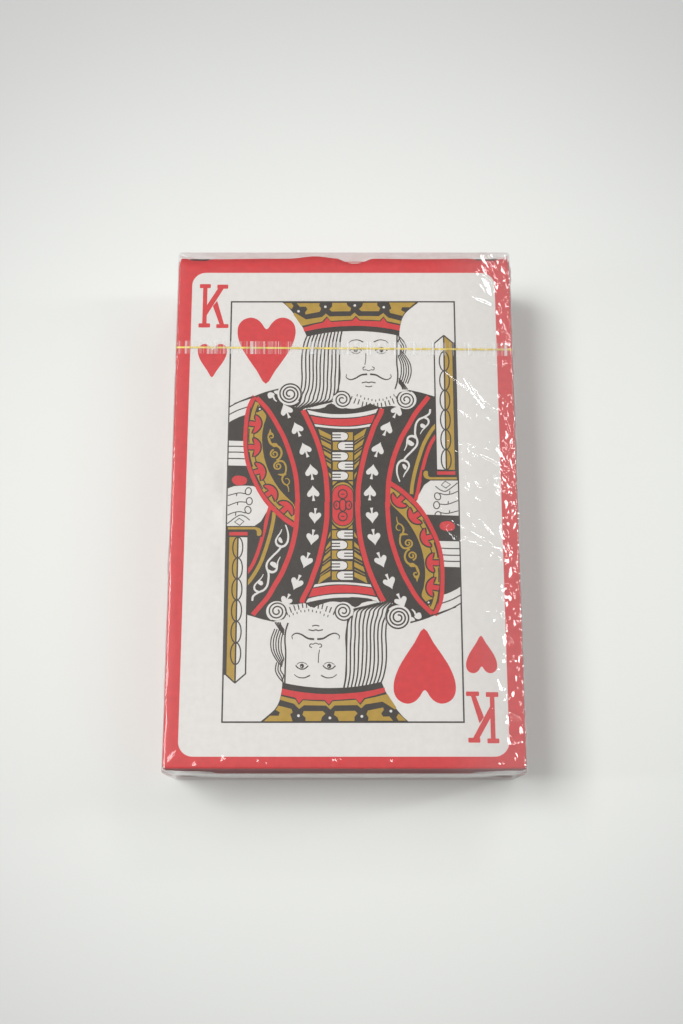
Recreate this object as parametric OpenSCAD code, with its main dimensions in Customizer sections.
// Playing card box: a tuck carton of thin board that holds a deck of 54 cards, wrapped in clear
// film that a tear tape parts into a cap and a sleeve. Millimetres. +Y points to the lid end and
// +Z out of the front panel. The origin is at the middle of the wrapped box's underside.

/* [Cards] */
// width of one card
card_w = 57; // [50:0.5:57.2]
// length of one card
card_l = 87; // [80:0.5:87.4]
// thickness of one card
card_t = 0.27; // [0.2:0.01:0.28]
// radius of a card's corners
card_corner_r = 3.2; // [1:0.1:6]
// cards in each of the four suits
suit_count = 13; // [1:1:13]
// jokers on top of the deck
joker_count = 2; // [1:1:2]

/* [Carton] */
// outer width of the carton
carton_w = 59; // [58.8:0.1:62]
// outer length of the carton, from the bottom flap to the lid
carton_l = 89.8; // [89.6:0.1:94]
// outer thickness of the carton
carton_h = 17.5; // [17.5:0.1:20]
// thickness of the board
board_t = 0.35; // [0.25:0.01:0.35]
// width of the strip that the left wall is glued to
glue_flap_w = 15.6; // [8:0.1:16]
// length of the four dust flaps
dust_flap_l = 16; // [8:0.5:18]
// height of the inner bottom flap
inner_flap_h = 13; // [8:0.5:16]
// width of the shallow notch in the front panel's lid edge
notch_w = 8.4; // [4:0.1:16]
// depth of that notch
notch_d = 1.2; // [0.5:0.1:4]
// how far the notch sits to the right of the middle
notch_x = 1.4; // [-5:0.1:5]

/* [Tuck lid] */
// length of the tongue that tucks in behind the front panel
tongue_l = 9.5; // [6:0.1:9.6]
// width of the tongue
tongue_w = 56.5; // [50:0.1:57]
// radius of the tongue's free corners
tongue_corner_r = 6; // [2:0.5:9]
// space between the tongue and the front panel
tongue_space = 0.88; // [0.88:0.01:1.2]
// slope of a lid dust flap's edge beside the lid's hinge, in degrees
flap_back_slope = 17; // [16:1:30]
// slope of a dust flap's other edge, in degrees
flap_front_slope = 6; // [6:1:20]
// corner cut off a dust flap's free end
flap_chamfer = 4; // [2:0.5:5]

/* [Film wrap] */
// thickness of the film
film_t = 0.05; // [0.03:0.01:0.05]
// air between the film and the carton's broad faces and sides
film_air = 0.2; // [0.2:0.01:0.4]
// air and folds between the lid and the cap's outermost film
cap_end_air = 1.3; // [0.9:0.1:3]
// air and folds between the bottom flap and the sleeve's outermost film
sleeve_end_air = 0.9; // [0.9:0.1:3]
// distance from the lid end of the carton to the middle of the tear tape
tear_from_lid = 17.2; // [10:0.1:30]
// width of the clear tear tape
tape_w = 2.4; // [1:0.1:4]
// width of the gold line along the tape
thread_w = 0.5; // [0.2:0.1:1]
// length of the pull tab on the right side
tab_l = 6; // [3:0.5:12]
// width of the overlapped seam along the back
seam_w = 8; // [4:0.5:16]
// reach of the film's end flaps over the box end
end_flap_h = 11; // [8:0.5:14]
// reach of the film's side tucks over the box end
side_tuck_l = 8; // [4:0.5:8.5]

/* [Hidden] */
$fn = 64;
slit = 0.02; // between neighbouring pieces at a fold
film_slit = 0.01; // between neighbouring walls of film
card_pitch = card_t + film_slit;
deck_bed = 0.05; // between the back panel and the lowest card
flap_pitch = board_t + slit;
carton_z0 = film_t + film_air;
floor_z = carton_z0 + board_t;
carton_z1 = carton_z0 + carton_h;
ceiling_z = carton_z1 - board_t;
wrap_w = carton_w + 2 * (film_t + film_air);
wrap_h = carton_h + 2 * (film_t + film_air);
wrap_l = carton_l + cap_end_air + sleeve_end_air;
wrap_y0 = -wrap_l / 2;
wrap_y1 = wrap_l / 2;
carton_y0 = wrap_y0 + sleeve_end_air;
carton_y1 = wrap_y1 - cap_end_air;
wall_x = carton_w / 2 - board_t; // inner face of each side wall
hinge_y = carton_y1 - board_t; // the lid turns about this line at floor_z
panel_w = carton_w - 0.1;
tongue_z = ceiling_z - tongue_space - board_t;
lid_flap_y = carton_y1 - 2 * board_t - 0.1; // inner face of the lid's dust flaps
flap_back_air = 0.32; // between a dust flap's root and the back panel
flap_front_air = 0.5; // between a dust flap's root and the tongue
deck_y0 = carton_y0 + 3 * flap_pitch + slit;
deck_x = (board_t + slit) / 2; // the glue flap pushes the deck off the middle
deck_z0 = floor_z + deck_bed;
deck_air = 0.2; // between the glue flap's end and the lid's dust flap
notch_r = (pow(notch_w, 2) / 4 + pow(notch_d, 2)) / (2 * notch_d);
tear_y = carton_y1 - tear_from_lid;
parting_y = tear_y - tape_w / 2 - 0.1;
layer = film_t + slit; // pitch of film layers that lie on each other
tape_x = wrap_w / 2 - film_t - slit; // outer face of the tape on the sides
tab_z = wrap_h / 2;
seam_x = 4; // the seam's middle, to the right of the box's middle

board_red = [0.8, 0.26, 0.27];
board_dark_red = [0.62, 0.16, 0.19];
board_grey = [0.87, 0.86, 0.83];
print_white = [0.9, 0.88, 0.86];
card_white = [0.95, 0.95, 0.93];
film_clear = [0.92, 0.94, 0.95, 0.35];
gold = [0.79, 0.64, 0.24];

// a box from its two opposite corners
module block(a, b) {
  translate(a) cube(b - a);
}

// a flat rounded rectangle, centred on X and running from y = 0 to y = l
module rounded_sheet(w, l, r) {
  translate([-w / 2, r]) square([w, l - 2 * r]);
  translate([-w / 2 + r, 0]) square([w - 2 * r, l]);
  for (x = [-w / 2 + r, w / 2 - r], y = [r, l - r]) translate([x, y]) circle(r = r);
}

// a stack of count cards whose lowest one is number first in the deck
module card_stack(first, count) {
  for (i = [first : first + count - 1])
    translate([deck_x, deck_y0, deck_z0 + i * card_pitch])
      linear_extrude(card_t) rounded_sheet(card_w, card_l, card_corner_r);
}

// a sheet standing on the X axis, its outline in X and Z, its faces at y and y + t
module standing(y, t) {
  translate([0, y + t, 0]) rotate([90, 0, 0]) linear_extrude(t) children();
}

// a dust flap's outline, with its root at the left wall
module dust_outline() {
  root_x = -wall_x + slit;
  low = floor_z + flap_back_air;
  high = tongue_z - flap_front_air;
  tip_low = low + dust_flap_l * tan(flap_back_slope);
  tip_high = high - dust_flap_l * tan(flap_front_slope);
  polygon([[root_x, low], [root_x + dust_flap_l, tip_low],
    [root_x + dust_flap_l, tip_high - flap_chamfer],
    [root_x + dust_flap_l - flap_chamfer, tip_high], [root_x, high]]);
}

module front_panel() {
  color(print_white) difference() {
    block([-carton_w / 2, carton_y0, ceiling_z], [carton_w / 2, carton_y1, carton_z1]);
    translate([notch_x, carton_y1 - notch_d + notch_r, ceiling_z - board_t])
      cylinder(r = notch_r, h = 3 * board_t);
  }
}

module back_panel() {
  color(board_red)
    block([-carton_w / 2, carton_y0, carton_z0], [carton_w / 2, hinge_y - slit, floor_z]);
}

// one side wall; side is -1 for the left and 1 for the right
module side_wall(side) {
  color(board_red) mirror([side > 0 ? 1 : 0, 0, 0])
    block([-carton_w / 2, carton_y0 + flap_pitch, floor_z + slit],
      [-wall_x, hinge_y - slit, ceiling_z - slit]);
}

module left_wall() {
  side_wall(-1);
}

module right_wall() {
  side_wall(1);
}

module glue_flap() {
  color(board_grey)
    block([-wall_x + slit, deck_y0, ceiling_z - slit - glue_flap_w],
      [-wall_x + slit + board_t, lid_flap_y - deck_air, ceiling_z - slit]);
}

module bottom_outer_flap() {
  color(board_dark_red)
    block([-panel_w / 2, carton_y0, floor_z + slit],
      [panel_w / 2, carton_y0 + board_t, ceiling_z - slit]);
}

module bottom_inner_flap() {
  color(board_grey)
    block([-wall_x + slit, carton_y0 + flap_pitch, floor_z + slit],
      [wall_x - slit, carton_y0 + flap_pitch + board_t, floor_z + slit + inner_flap_h]);
}

module bottom_dust_flap(side) {
  color(board_grey) mirror([side > 0 ? 1 : 0, 0, 0])
    standing(carton_y0 + 2 * flap_pitch, board_t) dust_outline();
}

module bottom_dust_flap_left() {
  bottom_dust_flap(-1);
}

module bottom_dust_flap_right() {
  bottom_dust_flap(1);
}

module lid_panel() {
  color(board_red)
    block([-panel_w / 2, hinge_y, floor_z + slit], [panel_w / 2, carton_y1, tongue_z + board_t]);
}

module tuck_tongue() {
  color(board_red) translate([0, hinge_y - slit, tongue_z]) rotate([0, 0, 180])
    linear_extrude(board_t) {
      rounded_sheet(tongue_w, tongue_l, tongue_corner_r / 2);
      translate([-tongue_w / 2, 0]) square([tongue_w, tongue_l / 2]);
    }
}

module top_dust_flap(side) {
  color(board_grey) mirror([side > 0 ? 1 : 0, 0, 0])
    standing(lid_flap_y, board_t) dust_outline();
}

module top_dust_flap_left() {
  top_dust_flap(-1);
}

module top_dust_flap_right() {
  top_dust_flap(1);
}

module spade_cards() {
  color(card_white) card_stack(0, suit_count);
}

module heart_cards() {
  color(card_white) card_stack(suit_count, suit_count);
}

module diamond_cards() {
  color(card_white) card_stack(2 * suit_count, suit_count);
}

module club_cards() {
  color(card_white) card_stack(3 * suit_count, suit_count);
}

module joker_cards() {
  color(card_white) card_stack(4 * suit_count, joker_count);
}

// four walls of film round the box from y0 to y1
module film_walls(y0, y1) {
  for (z = [0, wrap_h - film_t])
    block([-wrap_w / 2, y0, z], [wrap_w / 2, y1, z + film_t]);
  for (x = [-wrap_w / 2, wrap_w / 2 - film_t])
    block([x, y0, film_t + film_slit], [x + film_t, y1, wrap_h - film_t - film_slit]);
}

// the two tucks of film folded in from the sides at one end, with their lower face at y
module side_tucks(y) {
  inset = film_t + 2 * film_slit;
  for (side = [0, 1]) mirror([side, 0, 0])
    standing(y, film_t)
      polygon([[-wrap_w / 2 + inset, inset], [-wrap_w / 2 + inset, wrap_h - inset],
        [-wrap_w / 2 + inset + side_tuck_l, wrap_h - inset - side_tuck_l],
        [-wrap_w / 2 + inset + side_tuck_l, inset + side_tuck_l]]);
}

// one end flap of film that folds up from the back face
module end_flap(y) {
  inset = film_t + 2 * film_slit;
  standing(y, film_t)
    polygon([[-wrap_w / 2 + inset, inset], [wrap_w / 2 - inset, inset],
      [wrap_w / 2 - inset - end_flap_h, inset + end_flap_h],
      [-wrap_w / 2 + inset + end_flap_h, inset + end_flap_h]]);
}

// the back flap with its face at y_back and the front flap over it at y_front
module end_flaps(y_back, y_front) {
  end_flap(y_back);
  translate([0, 0, wrap_h]) mirror([0, 0, 1]) end_flap(y_front);
}

// a band that runs round inside the film, depth below the film's outer face
module inner_band(depth, w) {
  x = wrap_w / 2 - depth;
  inset = depth + film_t + film_slit;
  for (z = [depth, wrap_h - depth - film_t])
    block([-x, tear_y - w / 2, z], [x, tear_y + w / 2, z + film_t]);
  for (side = [-x, x - film_t])
    block([side, tear_y - w / 2, inset], [side + film_t, tear_y + w / 2, wrap_h - inset]);
}

module film_sleeve_wall() {
  color(film_clear) film_walls(wrap_y0, parting_y - 0.05);
}

module film_sleeve_side_tucks() {
  color(film_clear) side_tucks(carton_y0 - sleeve_end_air / 3);
}

module film_sleeve_end_flaps() {
  color(film_clear) end_flaps(carton_y0 - 2 * sleeve_end_air / 3, wrap_y0);
}

module film_sleeve_seam() {
  color(film_clear)
    block([seam_x - seam_w / 2, carton_y0, layer],
      [seam_x + seam_w / 2, parting_y - 0.05, layer + film_t]);
}

module film_cap_wall() {
  color(film_clear) difference() {
    film_walls(parting_y, wrap_y1);
    block([wrap_w / 2 - 2 * film_t, tear_y - tape_w / 2 - slit, tab_z - tab_l / 2 - slit],
      [wrap_w / 2 + film_t, tear_y + tape_w / 2 + slit, tab_z + tab_l / 2 + slit]);
  }
}

module film_cap_side_tucks() {
  color(film_clear) side_tucks(carton_y1 + cap_end_air / 3);
}

module film_cap_end_flaps() {
  color(film_clear) end_flaps(carton_y1 + 2 * cap_end_air / 3, wrap_y1 - film_t);
}

module film_cap_seam() {
  color(film_clear)
    block([seam_x - seam_w / 2, tear_y + tape_w / 2 + slit, layer],
      [seam_x + seam_w / 2, carton_y1, layer + film_t]);
}

module tear_tape() {
  color(film_clear) inner_band(layer, tape_w);
}

module gold_thread() {
  color(gold) inner_band(2 * layer, thread_w);
}

module pull_tab() {
  color(gold)
    block([wrap_w / 2 - film_t, tear_y - tape_w / 2, tab_z - tab_l / 2],
      [wrap_w / 2, tear_y + tape_w / 2, tab_z + tab_l / 2]);
}

front_panel();
back_panel();
left_wall();
right_wall();
glue_flap();
bottom_outer_flap();
bottom_inner_flap();
bottom_dust_flap_left();
bottom_dust_flap_right();
lid_panel();
tuck_tongue();
top_dust_flap_left();
top_dust_flap_right();
spade_cards();
heart_cards();
diamond_cards();
club_cards();
joker_cards();
film_sleeve_wall();
film_sleeve_side_tucks();
film_sleeve_end_flaps();
film_sleeve_seam();
film_cap_wall();
film_cap_side_tucks();
film_cap_end_flaps();
film_cap_seam();
tear_tape();
gold_thread();
pull_tab();
